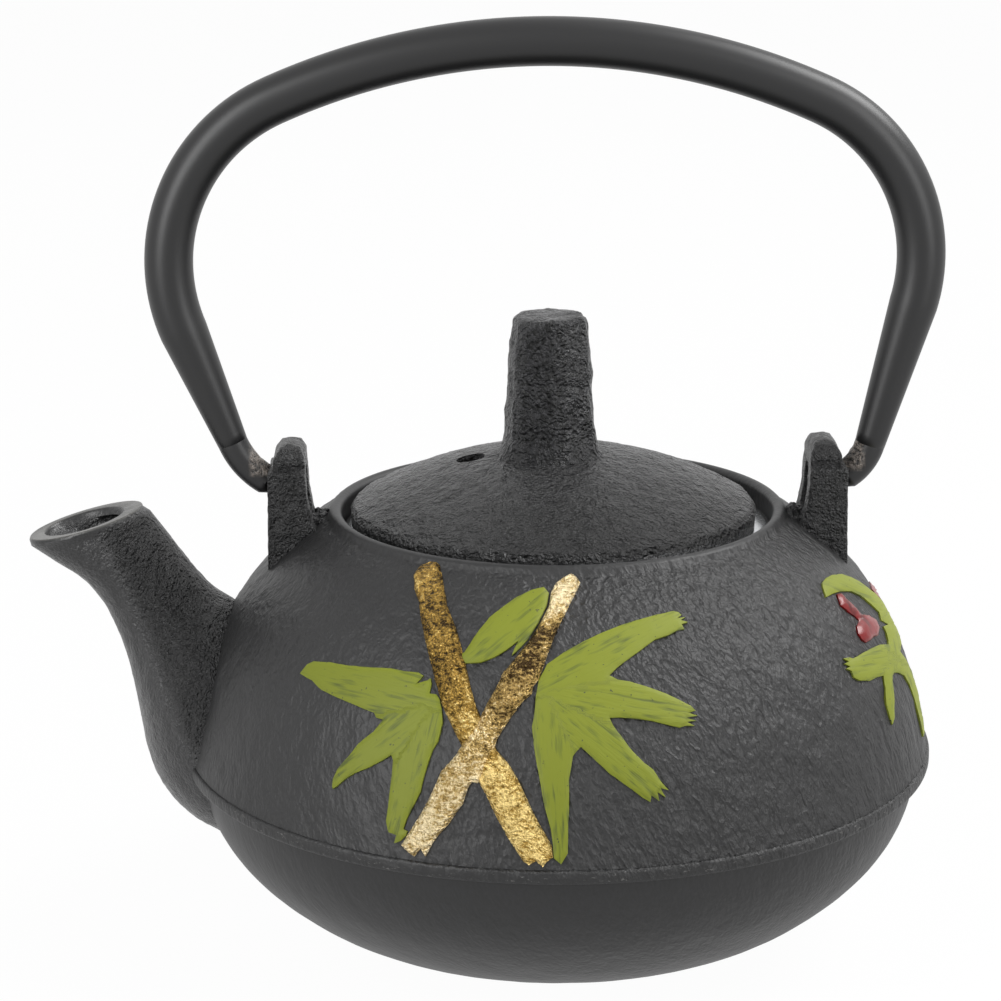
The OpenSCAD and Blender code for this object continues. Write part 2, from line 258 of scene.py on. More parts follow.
def add(tree, kind, links=None, stops=(), **settings):
    """Adds a node: links say what feeds a socket, stops are a ramp's places and sRGB hex colours,
    and settings name a socket, a socket's number after `in_`, or the node's own option."""
    node = tree.nodes.new("ShaderNode" + kind)
    sockets = {s.name.replace(" ", "_").lower(): s for s in reversed(list(node.inputs))}
    for name, value in settings.items():
        if name in sockets:
            sockets[name].default_value = value
        elif name[:3] == "in_":
            node.inputs[int(name[3:])].default_value = value
        else:
            setattr(node, name, value)
    for socket, source in (links or {}).items():
        feed(node, socket, source)
    for _ in stops[2:]:
        node.color_ramp.elements.new(0.5)
    for i, (position, code) in enumerate(stops):
        node.color_ramp.elements[i].position = position
        node.color_ramp.elements[i].color = colour(code)
    return node


def finish_of(name, **surface):
    """A new material: its node tree, its shader with the surface's plain values set, and the
    place on the piece that its patterns read."""
    material = bpy.data.materials.new(name)
    material.use_nodes = True
    tree = material.node_tree
    shader = tree.nodes["Principled BSDF"]
    for key, value in surface.items():
        shader.inputs[key.replace("_", " ")].default_value = value
    return material, tree, shader, add(tree, "TexCoord").outputs["Object"]


def grain(tree, place, size, detail=2, rough=0.5, stretch=(1, 1, 1), lean=(0, 0, 0)):
    """A cloudy value whose lumps are `size` mm across, pulled out along `stretch`."""
    turn = add(tree, "Mapping", {"Vector": place}, vector_type="TEXTURE",
               rotation=[math.radians(a) for a in lean], scale=stretch)
    return add(tree, "TexNoise", {"Vector": turn}, scale=1 / (size * MM),
               detail=detail, roughness=rough).outputs["Fac"]


def cast_iron(name, dark, pale, streak, lean, relief, sheen, size=1.0, sandy=0.6):
    """Cast iron under thin matt black lacquer, as the sand mould left it: the eye sees a near-black
    grey skin of short crinkled ridges, with soft highlights on the sides that face the light.
    Returns the material with the values from which its worn places and its painted highlights are made."""
    material, tree, shader, place = finish_of(name, Roughness=sheen, IOR=1.5)
    broad = grain(tree, place, 3.4 * size, 1, 0.5, (1, 1, streak), lean)
    fold = grain(tree, place, 1.5 * size, 1.5, 0.55, (1, 1, streak), lean)
    sand = grain(tree, place, 0.55 * size, 2, 0.6, (1, 1, 1 + (streak - 1) / 2), lean)
    ridge = add(tree, "Math", {0: fold}, operation="SUBTRACT", in_1=0.5)
    ridge = add(tree, "Math", {0: ridge}, operation="ABSOLUTE")
    crinkle = add(tree, "Math", {0: ridge}, operation="MULTIPLY", in_1=-1.7)
    crinkle = add(tree, "Math", {0: broad, 2: crinkle}, operation="MULTIPLY_ADD", in_1=1.3)
    crinkle = add(tree, "Math", {0: sand, 2: crinkle}, operation="MULTIPLY_ADD", in_1=sandy)
    bump = add(tree, "Bump", {"Height": crinkle}, strength=1.0, distance=relief * MM)
    tone = add(tree, "ValToRGB", {"Fac": sand}, ((0.36, dark), (0.66, pale)))
    feed(shader, "Normal", bump)
    feed(shader, "Base Color", tone)
    return material, tree, shader, place, bump, tone


def pot_iron():
    """The pot's skin: calmer under the rib and on the lip, chipped to grey iron along the rib's edge."""
    material, tree, shader, place, bump, tone = cast_iron(
        "lacquered_cast_iron_sand_skin", "#111111", "#19191a", 2.5, CAST_LEAN, 0.65, 0.5, 0.9, 0.45)
    parts = add(tree, "SeparateXYZ", {"Vector": place}).outputs
    flat = add(tree, "CombineXYZ", {"X": parts["X"], "Y": parts["Y"]})
    radius = add(tree, "VectorMath", {0: flat}, operation="LENGTH").outputs["Value"]
    above = add(tree, "MapRange", {"Value": parts["Z"]}, to_min=0.25,
                from_min=(RIB_Z - 0.8) * MM, from_max=(RIB_Z + 1.2) * MM)
    outer = add(tree, "MapRange", {"Value": radius}, to_min=0.15,
                from_min=(MOUTH_R + 1.6) * MM, from_max=(MOUTH_R + 2.8) * MM)
    coarse = add(tree, "MapRange", {"Value": parts["X"]}, from_min=-28 * MM, from_max=12 * MM, to_min=0.4)
    depth = add(tree, "Math", {0: above, 1: outer}, operation="MULTIPLY")
    feed(bump, "Strength", add(tree, "Math", {0: depth, 1: coarse}, operation="MULTIPLY"))
    edge = add(tree, "MapRange", {"Value": radius},
               from_min=(RIB_R - 0.18) * MM, from_max=(RIB_R - 0.02) * MM)
    nick = add(tree, "MapRange", {"Value": grain(tree, place, 1.3, 3, 0.75, (1, 1, 0.4))},
               from_min=0.62, from_max=0.7)
    chip = add(tree, "Math", {0: edge, 1: nick}, operation="MULTIPLY")
    wear_and_highlight_mix = add(tree, "Mix", {0: chip, 6: tone}, data_type="RGBA", in_7=colour("#6c6b69"))
    feed(shader, "Base Color", wear_and_highlight_mix.outputs[2])
    return material


def lid_skin():
    """The lid's skin: the deepest crinkles of the set, and a lighter grey up the knob as a painted highlight.
    """
    material, tree, shader, place, _, tone = cast_iron(
        "lacquered_cast_iron_lid_skin", "#131313", "#202021", 0.9, (0, 0, 0), 2.2, 0.34, 0.8)
    height = add(tree, "SeparateXYZ", {"Vector": place}).outputs["Z"]
    knob = add(tree, "MapRange", {"Value": height},
               from_min=(KNOB_ROOT_Z - 2) * MM, from_max=(KNOB_ROOT_Z + 5) * MM)
    # painted highlight: the knob is tinted a lighter speckled grey for the light its crinkles catch
    painted_knob_highlight = add(tree, "ValToRGB", {"Fac": grain(tree, place, 0.7, 2, 0.6)},
               ((0.38, "#161616"), (0.62, "#48484a")))
    mix = add(tree, "Mix", {0: knob, 6: tone, 7: painted_knob_highlight}, data_type="RGBA")
    feed(shader, "Base Color", mix.outputs[2])
    return material


def spout_iron():
    """The spout's skin: wrinkled as leather beside a smoother front band, with its flat lip tinted a
    lighter grey as a painted highlight."""
    material, tree, shader, place, bump, tone = cast_iron(
        "lacquered_cast_iron_spout_skin", "#161616", "#2e2e2f", 1.2, (0, 20, 0), 1.4, 0.34, 0.6)
    parts = add(tree, "SeparateXYZ", {"Vector": place}).outputs
    x0, z0, x1, z1 = SPOUT[0][:4]
    slope = (z1 - z0) / (x1 - x0)
    top = z0 - x0 * slope
    level = add(tree, "Math", {0: parts["X"], 2: parts["Z"]}, operation="MULTIPLY_ADD", in_1=-slope)
    # painted highlight: the flat lip face is tinted a lighter grey to stand in for the light it catches
    painted_lip_highlight = add(tree, "MapRange", {"Value": level}, from_min=(top - 0.22) * MM, from_max=(top - 0.02) * MM)
    wear_and_highlight_mix = add(tree, "Mix", {0: painted_lip_highlight, 6: tone}, data_type="RGBA", in_7=colour("#545350"))
    feed(shader, "Base Color", wear_and_highlight_mix.outputs[2])
    calm = add(tree, "MapRange", {"Value": level}, from_min=(top - 1.6) * MM, from_max=(top - 0.5) * MM,
               to_min=1.0, to_max=0.2)
    aside = add(tree, "Math", {0: parts["Z"], 2: parts["X"]}, operation="MULTIPLY_ADD", in_1=0.42)
    band = add(tree, "MapRange", {"Value": aside}, from_min=-45.5 * MM, from_max=-41.5 * MM, to_min=0.3)
    feed(bump, "Strength", add(tree, "Math", {0: calm, 1: band}, operation="MULTIPLY"))
    return material


def lacquered_tube():
    """Drawn steel tube under smooth satin black lacquer: the eye sees one soft long highlight."""
    material, tree, shader, place = finish_of(
        "satin_lacquered_steel_tube", Base_Color=colour("#101011"), Roughness=0.4, IOR=1.5)
    flow = grain(tree, place, 0.5, 2, 0.5)
    feed(shader, "Normal", add(tree, "Bump", {"Height": flow}, strength=0.25, distance=0.02 * MM))
    return material


def forged_hook():
    """Steel bar bent hot and dipped in the tube's lacquer: the eye sees a satin black, and a
    crusty brown grey where the bar was pinched on its inner side."""
    material, tree, shader, place = finish_of("lacquered_forged_steel", Roughness=0.42, IOR=1.5)
    parts = add(tree, "SeparateXYZ", {"Vector": place}).outputs
    out = add(tree, "Math", {0: parts["X"]}, operation="ABSOLUTE")
    near = add(tree, "MapRange", {"Value": out}, from_min=(EAR_X + 3.2) * MM, from_max=(EAR_X + 2.4) * MM)
    high = add(tree, "MapRange", {"Value": parts["Z"]},
               from_min=(PIVOT_Z + 0.9) * MM, from_max=(PIVOT_Z + 1.7) * MM)
    crust = grain(tree, place, 0.8, 3, 0.7)
    pinched = add(tree, "Math", {0: near, 1: high}, operation="MULTIPLY")
    pits = add(tree, "ValToRGB", {"Fac": crust}, ((0.4, "#22201e"), (0.6, "#8c837b")))
    tone = add(tree, "Mix", {0: pinched, 7: pits}, data_type="RGBA", in_6=colour("#111112"))
    feed(shader, "Base Color", tone.outputs[2])
    feed(shader, "Normal", add(tree, "Bump", {"Height": crust, "Strength": pinched}, distance=0.7 * MM))
    return material


def stainless(name, roughness):
    """Stainless steel as rolled and pressed: the eye sees a bright, slightly grey metal."""
    material, tree, shader, place = finish_of(
        name, Base_Color=colour("#c6c8ca"), Metallic=1.0, Roughness=roughness)
    lines = grain(tree, place, 0.5, 2, 0.5, (1, 1, 0.2))
    feed(shader, "Roughness", add(tree, "MapRange", {"Value": lines},
                                  to_min=roughness - 0.08, to_max=roughness + 0.12))
    return material


def gold_paint(name, deep, middle, bright, crown):
    """Bronze powder paint brushed thickly over rough iron: the eye sees glittering crinkled
    flakes, bright on their tops and brown between them.  The paint is lighter below 44 mm, darker
    from 60 mm up, and lighter again over `crown` mm."""
    material, tree, shader, place = finish_of(name, Metallic=0.85, Roughness=0.34)
    flakes = grain(tree, place, 0.3, 2, 0.6)
    creases = grain(tree, place, 0.95, 2, 0.6, (1, 1, 0.6))
    patches = grain(tree, place, 4.0, 1, 0.5)
    value = add(tree, "Math", {0: patches, 2: creases}, operation="MULTIPLY_ADD", in_1=0.6)
    value = add(tree, "Math", {0: flakes, 2: value}, operation="MULTIPLY_ADD", in_1=0.8)
    height = add(tree, "SeparateXYZ", {"Vector": place}).outputs["Z"]
    for low, high, start, end in ((44, 60, 0.18, -0.16), (crown, crown + 3, 0.0, 0.4)):
        change = add(tree, "MapRange", {"Value": height}, from_min=low * MM, from_max=high * MM,
                     to_min=start, to_max=end)
        value = add(tree, "Math", {0: value, 1: change}, operation="ADD")
    value = add(tree, "MapRange", {"Value": value}, from_min=0.85, from_max=1.6)
    powder = add(tree, "ValToRGB", {"Fac": value}, ((0.05, deep), (0.5, middle), (0.9, bright)))
    feed(shader, "Base Color", powder)
    folds = add(tree, "Math", {0: creases, 2: flakes}, operation="MULTIPLY_ADD", in_1=1.8)
    feed(shader, "Normal", add(tree, "Bump", {"Height": folds}, strength=1.0, distance=0.75 * MM))
    return material


def brushed_paint(name, body, thin, sheen):
    """Opaque enamel laid on with a brush: the eye sees a flat colour with long strokes, darker
    where the coat is thin, and pinholes that show the iron."""
    material, tree, shader, place = finish_of(name, Roughness=sheen, IOR=1.5)
    strokes = add(tree, "UVMap", uv_map="strokes")
    along = grain(tree, strokes, 0.7, 2, 0.6, (9, 1, 1))
    broad = grain(tree, strokes, 2.4, 1, 0.5, (3, 1, 1))
    value = add(tree, "Math", {0: broad, 2: along}, operation="MULTIPLY_ADD", in_1=0.8)
    tone = add(tree, "ValToRGB", {"Fac": value}, ((0.62, thin), (0.86, body)))
    hole = add(tree, "MapRange", {"Value": grain(tree, place, 0.7, 2, 0.6)}, from_min=0.69, from_max=0.73)
    tone = add(tree, "Mix", {0: hole, 6: tone}, data_type="RGBA", in_7=colour("#3a3f28"))
    feed(shader, "Base Color", tone.outputs[2])
    feed(shader, "Normal", add(tree, "Bump", {"Height": along}, strength=0.6, distance=0.15 * MM))
    return material


# ---------------------------------------------------------------- the pot's casting

FOOT_R, FOOT_H = 26, 1.7
BASE, BASE_R = (22.15, 41.08), 39.5         # arcs of the pot's section: centre and radius
SIDE, SIDE_R = (34.5, 30.9), 23.5
WALL, WALL_R = (-71.17, 7.47), 133
SHOULDER, SHOULDER_R = (12.39, 29.86), 46.5
TURN_BASE, TURN_WALL, TURN_SHOULDER, TURN_LIP = -39.5, 11.2, 15, 58.9
THICK = 3.8
RIB_R, RIB_Z, RIB_TOP = 60, 29.7, 32.1
MOUTH_R, LIP_Z, LIP_ROUND = 34.2, 70.8, 1.1
LEDGE_R, LEDGE_Z, LEDGE_H = 32.2, 67, 2.6
BASE_END_R = 52.6                           # where the arc under the bowl gives way to its side
AROUND = 440                                # faces round the pot
CAST_LEAN = (0, -20, 0)                     # lean of the streaks in the pot's skin

cavity = (
    [(LEDGE_R, LEDGE_Z - LEDGE_H + 0.6)]
    + arc(SHOULDER, SHOULDER_R - THICK, 54, TURN_SHOULDER, 2.5)
    + arc(WALL, WALL_R - THICK, TURN_SHOULDER, TURN_WALL, 3)
    + arc(SIDE, SIDE_R - THICK, 0, TURN_BASE, 2.5)
    + arc(BASE, BASE_R - THICK, TURN_BASE, -89.9, 3)
    + [(0, BASE[1] - BASE_R + THICK)])
outside = (
    [(0, 0.4), (FOOT_R - 3, 0.4), (FOOT_R - 2.4, 0), (FOOT_R - 0.3, 0), (FOOT_R, 0.3), (FOOT_R, FOOT_H)]
    + arc(BASE, BASE_R, -84.0, TURN_BASE, 1.3)
    + arc(SIDE, SIDE_R, TURN_BASE, -2.9, 1.2)[1:]
    + arc((RIB_R - 0.6, RIB_Z + 0.8), 0.6, -70, 0, 0.3)
    + arc((RIB_R - 0.5, RIB_TOP - 0.5), 0.5, 0, 90, 0.3)
    + arc(WALL, WALL_R, 10.68, TURN_SHOULDER, 0.8)
    + arc(SHOULDER, SHOULDER_R, TURN_SHOULDER, TURN_LIP, 0.8)[1:]
    + arc((MOUTH_R + LIP_ROUND, LIP_Z - LIP_ROUND), LIP_ROUND, 35, 180, 0.45)
    + [(MOUTH_R, LEDGE_Z + 0.2), (MOUTH_R - 0.2, LEDGE_Z),
       (LEDGE_R + 0.2, LEDGE_Z), (LEDGE_R, LEDGE_Z - 0.2)])

# Sections of the spout from its mouth to its root: the two ends of each in the XZ plane, its
# half width and how far along it is widest.  The channel through it is given the same way.
SPOUT_TURN = math.radians(-1.8)
SPOUT = [
    [-84.4, 65.7, -66.3, 70.6, 7.0, .50], [-84.3, 64.3, -65.0, 69.4, 7.2, .50],
    [-80.6, 61.8, -62.6, 66.1, 7.2, .50], [-76.4, 59.0, -60.4, 62.9, 7.3, .50],
    [-73.2, 55.2, -58.1, 59.8, 7.6, .52], [-71.1, 50.8, -55.2, 56.4, 8.6, .56],
    [-69.6, 46.4, -51.0, 52.8, 11.5, .66], [-68.4, 41.4, -48.5, 47.0, 16.0, .70],
    [-67.5, 36.2, -46.0, 39.4, 18.6, .78], [-66.7, 31.2, -44.0, 32.0, 19.2, .82],
    [-65.1, 26.4, -44.0, 26.2, 18.0, .80], [-62.0, 22.0, -44.0, 21.4, 15.4, .76],
    [-57.6, 18.9, -44.0, 18.0, 12.0, .72], [-51.0, 16.8, -44.0, 16.2, 7.0, .66]]
CHANNEL = [
    [-82.8, 68.1, -70.4, 71.7, 6.1, .5], [-81.9, 66.3, -69.4, 69.7, 6.0, .5],
    [-78.6, 63.6, -66.9, 67.1, 5.8, .5], [-74.4, 59.9, -63.8, 63.5, 5.4, .5],
    [-70.6, 54.8, -60.8, 58.8, 5.0, .5], [-68.0, 49.0, -58.2, 52.8, 5.0, .5],
    [-65.8, 42.4, -55.9, 46.2, 5.2, .5], [-63.8, 36.0, -53.6, 41.2, 5.4, .5],
    [-59.4, 30.8, -51.8, 39.6, 5.6, .5], [-53.2, 28.6, -49.6, 39.2, 5.6, .5],
    [-48.0, 28.0, -47.0, 39.0, 5.6, .5]]


def section(row, sides):
    """A loop round one section of the spout, turned to where the spout points."""
    x0, z0, x1, z1, half, widest = row
    loop = []
    for i in range(sides):
        c, s = math.cos(math.tau * i / sides), math.sin(math.tau * i / sides)
        along = widest * (1 - c) if c > 0 else widest - (1 - widest) * c
        x, y = x0 + (x1 - x0) * along, half * s
        loop.append((x * math.cos(SPOUT_TURN) - y * math.sin(SPOUT_TURN),
                     x * math.sin(SPOUT_TURN) + y * math.cos(SPOUT_TURN), z0 + (z1 - z0) * along))
    return loop


def pot_shell():
    """The bowl, its rib and its mouth, turned in one piece and pierced for the spout."""
    piece = turned("pot_casting", outside + cavity, AROUND)
    channel = lofted("channel", [section(row, 40) for row in curve_through(CHANNEL, 3)])
    combine(piece, channel, "DIFFERENCE")
    upper = lambda p: 1.0 if p.z > RIB_TOP + 1.5 and math.hypot(p.x, p.y) > MOUTH_R + 1.8 else 0.0
    roughen(piece, 2.6, 0.26, upper, (1, 1, 1.5), CAST_LEAN)
    roughen(piece, 1.5, 0.22, upper, (1, 1, 2.0), CAST_LEAN)
    roughen(piece, 6, 0.15, lambda p: 1.0 if 2 < p.z < RIB_Z - 0.7 and near_outside(p) else 0.0)
    return smooth(piece, 45)


def near_outside(p):
    """Whether a point is on the outside of the bowl and not in its cavity."""
    r = math.hypot(p.x, p.y)
    if r <= BASE[0]:
        return p.z < 3
    centre, big = (BASE, BASE_R) if r < BASE_END_R else (SIDE, SIDE_R)
    return math.hypot(r - centre[0], p.z - centre[1]) > big - 1


def wall_core():
    """What the spout and the ears stand on: the pot's outline a little inside its skin."""
    inset = 1.2
    return turned("core", [(0, 3)] + arc(BASE, BASE_R - inset, -89, TURN_BASE, 3)
                  + arc(SIDE, SIDE_R - inset, TURN_BASE, 0, 3)
                  + arc(WALL, WALL_R - inset, TURN_WALL, TURN_SHOULDER, 3)
                  + arc(SHOULDER, SHOULDER_R - inset, TURN_SHOULDER, TURN_LIP - 3, 3) + [(0, 66)], 120)


def spout_casting():
    """The spout, from its root out to the flat lip and back in along its channel."""
    rows = curve_through(SPOUT[1:], 7)[::-1]
    for (x0, z0, x1, z1, half, widest), wider, steps in (
            (SPOUT[0], 0.7, ((-0.1, 0.5), (0.0, 0.12), (0.12, 0.0), (0.3, 0.0))),
            (CHANNEL[1], 0.0, ((-0.35, -0.02), (-0.15, 0.03), (0.05, 0.35), (0.5, 1.2)))):
        for inset, drop in steps:
            rows.append([x0 + inset, z0 - drop, x1 - inset, z1 - drop, half - inset + wider, widest])
    rows += curve_through(CHANNEL[2:], 5)
    piece = lofted("spout_casting", [section(row, 112) for row in rows], ring=True)
    combine(piece, wall_core(), "DIFFERENCE")
    rough = lambda p: min(1.0, max(0.0, (-p.z + 64.5 + (p.x + 75) * 0.25) / 4))
    roughen(piece, 1.2, 0.22, rough)
    return smooth(piece, 50)


EAR_X, EAR_T, EAR_W, EAR_Z = 45.7, 6, 5.7, 81.7
SLOT_W, SLOT_Z, PIVOT_Z = 4.2, 69.4, 75.2


def ear_casting(name, side):
    """An ear: its section across the pot drawn out to its width, cut to its face and slotted."""
    inner = EAR_X - EAR_T
    crease = PIVOT_Z + 2.6
    profile = [(inner - 3, 60), (EAR_X + 0.3, 60), (EAR_X, crease - 0.4), (EAR_X - 0.9, crease),
               (EAR_X - 0.9, EAR_Z - 2.2), (EAR_X - 2, EAR_Z - 0.5), (EAR_X - 3.5, EAR_Z),
               (inner + 0.9, EAR_Z - 0.5), (inner + 0.2, EAR_Z - 2), (inner - 0.1, PIVOT_Z - 2),
               (inner - 0.8, PIVOT_Z - 6), (inner - 2.2, PIVOT_Z - 8)]
    half = [(EAR_W, 59), (EAR_W, crease - 0.5), (EAR_W - 1.0, crease + 0.1), (EAR_W - 0.6, crease + 1.0),
            (EAR_W - 1.0, EAR_Z - 1.9), (EAR_W - 2.1, EAR_Z - 0.7), (EAR_W - 3.6, EAR_Z)]
    face = half + [(-y, z) for y, z in half[::-1]]
    slot = (arc((0, PIVOT_Z), SLOT_W / 2, 0, 180, 0.55)
            + arc((0, SLOT_Z + SLOT_W / 2), SLOT_W / 2, 180, 360, 0.55))
    piece = lofted(name, [[(side * x, y, z) for x, z in profile] for y in (-EAR_W, EAR_W)])
    for outline, how in ((face, "INTERSECT"), (slot, "DIFFERENCE")):
        ends = [[(side * x, y, z) for y, z in outline] for x in (inner - 8, EAR_X + 4)]
        combine(piece, lofted("face", ends), how)
    remesh(piece, 0.28, 4)
    combine(piece, wall_core(), "DIFFERENCE")
    roughen(piece, 1.1, 0.16, lambda p: 1.0)
    return smooth(piece, 60)


def casting_flash(name, x, y, z, turn):
    """A crust of spilt iron left in the corner between an ear's foot and the lip."""
    rest()
    bpy.ops.mesh.primitive_ico_sphere_add(subdivisions=5, radius=MM, location=(x * MM, y * MM, z * MM),
                                          rotation=(0, math.radians(turn), 0), scale=(2.4, 4.0, 1.5))
    piece = place_in_mesh(bpy.context.object, name)
    roughen(piece, 1.4, 1.9, lambda p: 1.0)
    return smooth(piece, 50)


# ---------------------------------------------------------------- the lid

LID_R, LID_X, LID_EDGE_Z = 32.2, -0.65, 70
DOME_R, DOME_T = 58.5, 3.4
SKIRT_R, SKIRT_H, SEAT_Z = 27.2, 2.6, 67.6
VENT_D, VENT_X, VENT_Y = 4.6, -13.1, 0.8
KNOB_X, KNOB_Z, KNOB_TURN = -0.5, 101.5, 42
KNOB_LOW_D, KNOB_TOP_D, KNOB_ROOT_Z = 16, 12.8, 77


def six_sided(d, rounding, z, sides, swell=0.0):
    """A loop round a knob that is `d` across its corners; `swell` draws it towards a circle."""
    loop = []
    for i in range(sides):
        a = math.tau * i / sides
        local = (math.degrees(a) - KNOB_TURN) % 60
        flat = (d / 2 - rounding) * math.cos(math.radians(30)) + rounding
        r = flat / math.cos(math.radians(local - 30))
        r = min(r, d / 2 - 0.25 + 0.1 * math.cos(math.radians(6 * (local - 30))))
        r = r * (1 - swell) + (d / 2) * swell
        loop.append((LID_X + KNOB_X + r * math.cos(a), r * math.sin(a), z))
    return loop


def lid_casting():
    """The lid: a turned dome with its skirt, pierced by the vent, and the knob joined to it."""
    dome_z = LID_EDGE_Z + 0.2 - math.sqrt(DOME_R ** 2 - LID_R ** 2)
    edge = math.degrees(math.acos((LID_R - 0.7) / DOME_R))
    under = math.degrees(math.acos((SKIRT_R - 2.4) / (DOME_R - DOME_T)))
    swell = 0.75                            # the casting is fuller near its edge than the true dome
    profile = (
        [(r, z + swell * (r / LID_R) ** 3 - 0.3 * (1 - r / LID_R))
         for r, z in arc((0, dome_z), DOME_R, 90, edge, 0.7)]
        + [(LID_R - 0.25, LID_EDGE_Z + swell), (LID_R, LID_EDGE_Z + 0.35), (LID_R - 0.1, SEAT_Z + 0.5),
           (LID_R - 0.5, SEAT_Z), (SKIRT_R, SEAT_Z), (SKIRT_R - 0.2, SEAT_Z - SKIRT_H),
           (SKIRT_R - 2.4, SEAT_Z - SKIRT_H)]
        + arc((0, dome_z), DOME_R - DOME_T, under, 90, 2.5))
    profile[0] = (0, profile[0][1])
    profile[-1] = (0, profile[-1][1])
    piece = turned("lid_casting", profile, 260)
    pick(piece)
    piece.location.x = LID_X * MM
    place_in_mesh(piece, "lid_casting")
    rest()
    bpy.ops.mesh.primitive_cylinder_add(vertices=48, radius=VENT_D / 2 * MM, depth=20 * MM,
                                        location=((LID_X + VENT_X) * MM, VENT_Y * MM, 75 * MM))
    combine(piece, place_in_mesh(bpy.context.object, "vent"), "DIFFERENCE")
    sides = 108
    loops = [six_sided(KNOB_LOW_D + 5.2, 2, KNOB_ROOT_Z - 1.5, sides, 1.0)]
    for z, grow, swell in ((0.3, 4.4, 1.0), (1.0, 3.0, 0.9), (1.9, 1.9, 0.7),
                           (3.0, 0.9, 0.4), (4.4, 0.3, 0.15)):
        loops.append(six_sided(KNOB_LOW_D - 0.6 + grow, 2, KNOB_ROOT_Z + z, sides, swell))
    rows = 30
    low, high = KNOB_ROOT_Z + 5.4, KNOB_Z - 1.3
    for i in range(rows + 1):
        z = low + (high - low) * i / rows
        d = KNOB_LOW_D + (KNOB_TOP_D - KNOB_LOW_D) * (z - KNOB_ROOT_Z) / (high - KNOB_ROOT_Z)
        loops.append(six_sided(d, 1.6, z, sides))
    for inset, z in ((0.35, -0.75), (0.9, -0.35), (1.7, -0.08), (3.0, 0.0),
                     (5.5, 0.05), (8.5, 0.05), (11.5, 0.05)):
        loops.append(six_sided(KNOB_TOP_D - inset, 1.6, KNOB_Z + z, sides, min(1, inset / 8)))
    combine(piece, lofted("knob", loops), "UNION")
    top = lambda p: 1.0 if p.z > 70.3 else 0.0
    knob = lambda p: 1.0 if p.z > 80 and math.hypot(p.x - LID_X - KNOB_X, p.y) < 10 else 0.0
    roughen(piece, 2.2, 0.34, top)
    roughen(piece, 1.2, 0.16, top)
    roughen(piece, 3.2, 0.7, knob, (1, 1, 1.6))
    return smooth(piece, 50)


# ---------------------------------------------------------------- the bail and its hooks

BAIL_D, TIP_D = 7.6, 4.8
CREST_X, CREST_Z, CROWN_R = -1.9, 144.2, 104
RIGHT = (24.3, 27.4, 81.2, 23.4)            # crown turn, corner radius, corner turn, leg length
LEFT = (23.7, 28.1, 88, 19.3)
HOOK_GAP, PIN_D, PIN_X = 0.5, 3.6, 40.4


def corner_at(half, turn):
    """Where the bail's middle is in a corner, when it heads `turn` degrees below level."""
    crown, r = math.radians(half[0]), half[1]
    a = math.radians(turn)
    return ((CROWN_R - r) * math.sin(crown) + r * math.sin(a),
            CREST_Z - (CROWN_R - r) * (1 - math.cos(crown)) - r * (1 - math.cos(a)))


def leg_end(half, length):
    """Where the bail's middle is on a leg, `length` mm past the corner."""
    a = math.radians(half[0] + half[2])
    x, z = corner_at(half, half[0] + half[2])
    return x + length * math.cos(a), z - length * math.sin(a)


def half_bail(half):
    """Places along one half of the tube's middle: distance out, height, angle and radius."""
    rows = []
    for i in range(30):
        a = half[0] * i / 30
        rows.append((CROWN_R * math.sin(math.radians(a)), CREST_Z - CROWN_R * (1 - math.cos(math.radians(a))),
                     a, BAIL_D / 2))
    for i in range(37):
        a = half[0] + half[2] * i / 36
        rows.append((*corner_at(half, a), a, BAIL_D / 2))
    for i in range(1, 15):
        t = i / 14
        rows.append((*leg_end(half, half[3] * t), half[0] + half[2], (BAIL_D + (TIP_D - BAIL_D) * t) / 2))
    return rows


def ring_about(x, z, turn, r, sides):
    """A loop of radius r square to a path in the XZ plane that heads `turn` degrees below level."""
    a = math.radians(turn)
    return [(x + r * math.cos(t) * math.sin(a), r * math.sin(t), z + r * math.cos(t) * math.cos(a))
            for t in [-math.tau * i / sides for i in range(sides)]]


def bail_tube():
    """The bail's tube from end to end, with its tips softened."""
    left, right = half_bail(LEFT), half_bail(RIGHT)
    path = [(-x, z, -a, r) for x, z, a, r in left[:0:-1]] + right
    loops = [ring_about(CREST_X + x, z, a, r, 56) for x, z, a, r in path]
    tips = []
    for (x, z, a, r), out in ((path[0], -0.1), (path[-1], 0.1)):
        along, down = out * math.cos(math.radians(a)), out * math.sin(math.radians(a))
        tips.append(ring_about(CREST_X + x + along, z - down, a, r - 0.1, 56))
    return smooth(lofted("bail_tube_lacquered", [tips[0]] + loops + [tips[1]]), 50)


